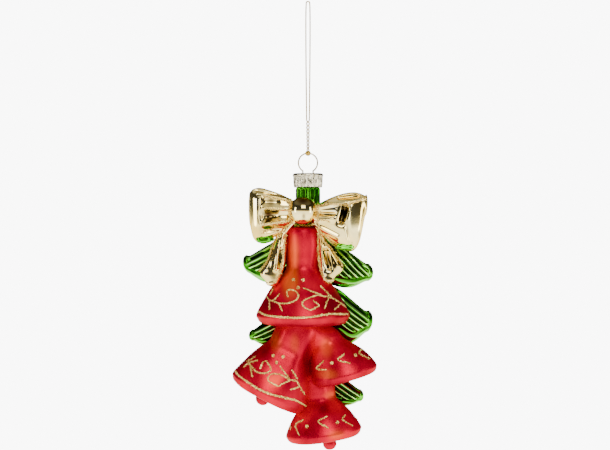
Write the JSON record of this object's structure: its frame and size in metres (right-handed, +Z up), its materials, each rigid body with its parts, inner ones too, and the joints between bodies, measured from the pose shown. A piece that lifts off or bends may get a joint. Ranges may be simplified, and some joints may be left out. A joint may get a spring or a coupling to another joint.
{
  "type": "christmas bell ornament",
  "caption": "Hanging blown-glass ornament: a cluster of closed bells under a bow with a fir tree behind, on a crown cap, wire hanger ring and cord loop.",
  "frame": {"origin": "seat of the hanging loop: the inside of the bend at the cord's top, where a hook bears", "axes": "+Z up along the hanging loop, front towards -Y, +X to the viewer's right"},
  "size_m": [0.0653, 0.0441, 0.2037],
  "materials": {
    "red_lacquer": "satin",
    "green_mirror": "gloss",
    "gold_mirror": "gloss",
    "gold_glitter": "sparkling",
    "silver_cap": "satin",
    "hanger_wire": "gloss",
    "gold_thread": "metallic"
  },
  "bodies": {
    "loop": {"cord_loop": "gold_thread"},
    "knot": {"cord_knot": "gold_thread"},
    "hanger": {"hanger_wire": "hanger_wire"},
    "cap": {"cap": "silver_cap"},
    "bubble": {"neck": "green_mirror", "tree_trunk": "green_mirror", "bough_left_upper": "green_mirror", "bough_right_upper": "green_mirror", "bough_left_middle": "green_mirror", "bough_right_middle": "green_mirror", "bough_right_lower": "green_mirror", "bough_back_upper": "green_mirror", "bough_back_middle": "green_mirror", "bough_back_lower": "green_mirror", "bow_knot": "gold_mirror", "bow_loop_left": "gold_mirror", "bow_loop_right": "gold_mirror", "bow_tail_left": "gold_mirror", "bow_tail_right": "gold_mirror", "leaf_left": "green_mirror", "leaf_right": "green_mirror", "bell_top": "red_lacquer", "bell_left": "red_lacquer", "bell_right": "red_lacquer", "bell_bottom": "red_lacquer", "clapper_left": "red_lacquer", "clapper_bottom": "red_lacquer", "glitter_rim_top": "gold_glitter", "glitter_rim_left": "gold_glitter"}
  },
  "joints": [
    {"name": "swing_fore_aft", "type": "hinge", "parent": "loop", "child": "knot", "pos_m": [0, 0, -0.0686], "axis": [1, 0, 0], "range_deg": [-80, 80]},
    {"name": "ring_slide_round", "type": "hinge", "parent": "knot", "child": "hanger", "pos_m": [0, 0, -0.07295], "axis": [0, 1, 0], "range_deg": [-75, 75]},
    {"name": "cap_up_legs", "type": "slide", "parent": "hanger", "child": "cap", "axis": [0, 0, 1], "range_m": [0, 0.0009]},
    {"name": "cap_pull_off", "type": "slide", "parent": "cap", "child": "bubble", "axis": [0, 0, -1], "range_m": [0, 0.018]}
  ]
}
